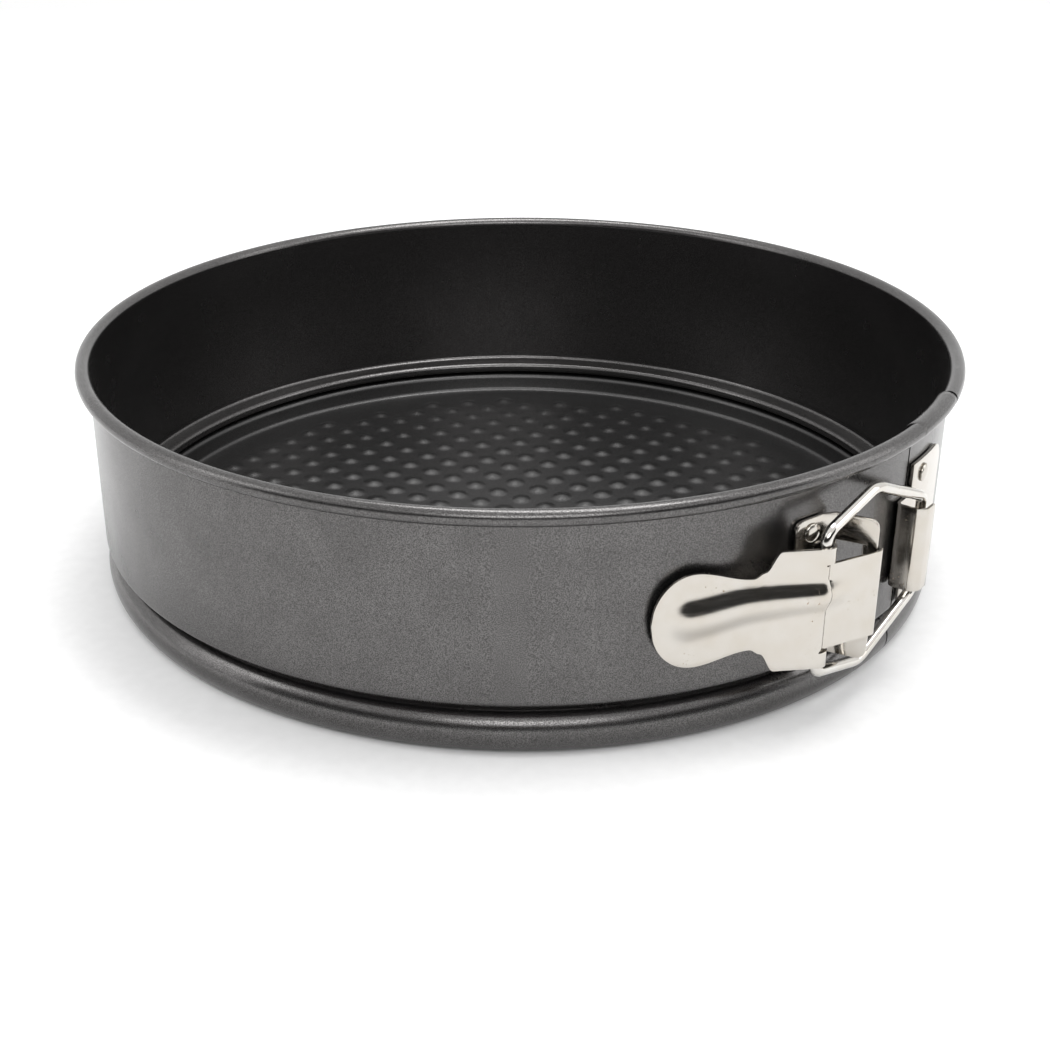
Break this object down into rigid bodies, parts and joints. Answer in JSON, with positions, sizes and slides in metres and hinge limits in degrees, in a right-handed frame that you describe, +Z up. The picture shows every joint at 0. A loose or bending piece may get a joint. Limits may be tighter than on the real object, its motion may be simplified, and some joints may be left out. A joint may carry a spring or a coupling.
{
  "type": "springform pan",
  "caption": "Round springform cake pan with a dimpled lift-out base and an over-centre lever latch on its spring band.",
  "frame": {"origin": "on the pan's axis, at the surface the pan stands on", "axes": "+Z up along the pan's axis; the latch's lever points left of -Y and its catch is towards +X"},
  "size_m": [0.248, 0.248, 0.0659],
  "materials": {
    "band_coating": "satin grey non-stick coating with a fine metallic speckle",
    "base_coating": "satin near-black non-stick coating",
    "plated_steel": "bright nickel plate on pressed sheet, lightly scratched",
    "wire_steel": "bright plated wire"
  },
  "bodies": {
    "root": {"band_left": "band_coating", "base_plate": "base_coating", "latch_bracket": "plated_steel", "bracket_rivet_upper": "plated_steel", "bracket_rivet_lower": "plated_steel"},
    "ring_right": {"band_right": "band_coating", "catch_plate": "plated_steel", "catch_rivet_upper": "plated_steel", "catch_rivet_lower": "plated_steel"},
    "lever": {"latch_lever": "plated_steel"},
    "bail": {"bail_wire": "wire_steel"}
  },
  "joints": [
    {"name": "lever_swing", "type": "hinge", "parent": "root", "child": "lever", "pos_m": [0.0839, -0.0999, 0.035], "axis": [0, 0, 1], "range_deg": [0, 75]},
    {"name": "bail_swing", "type": "hinge", "parent": "lever", "child": "bail", "pos_m": [0.0715, -0.1075, 0.035], "axis": [0, 0, 1], "range_deg": [-52.4, 0]},
    {"name": "band_spread", "type": "hinge", "parent": "root", "child": "ring_right", "pos_m": [-0.10032, 0.07289, 0.035], "axis": [0, 0, 1], "range_deg": [0, 0.7]}
  ],
  "couplings": [
    {"joint": "bail_swing", "follows": "lever_swing", "ratio": -0.698},
    {"joint": "band_spread", "follows": "lever_swing", "ratio": 0.0092}
  ]
}
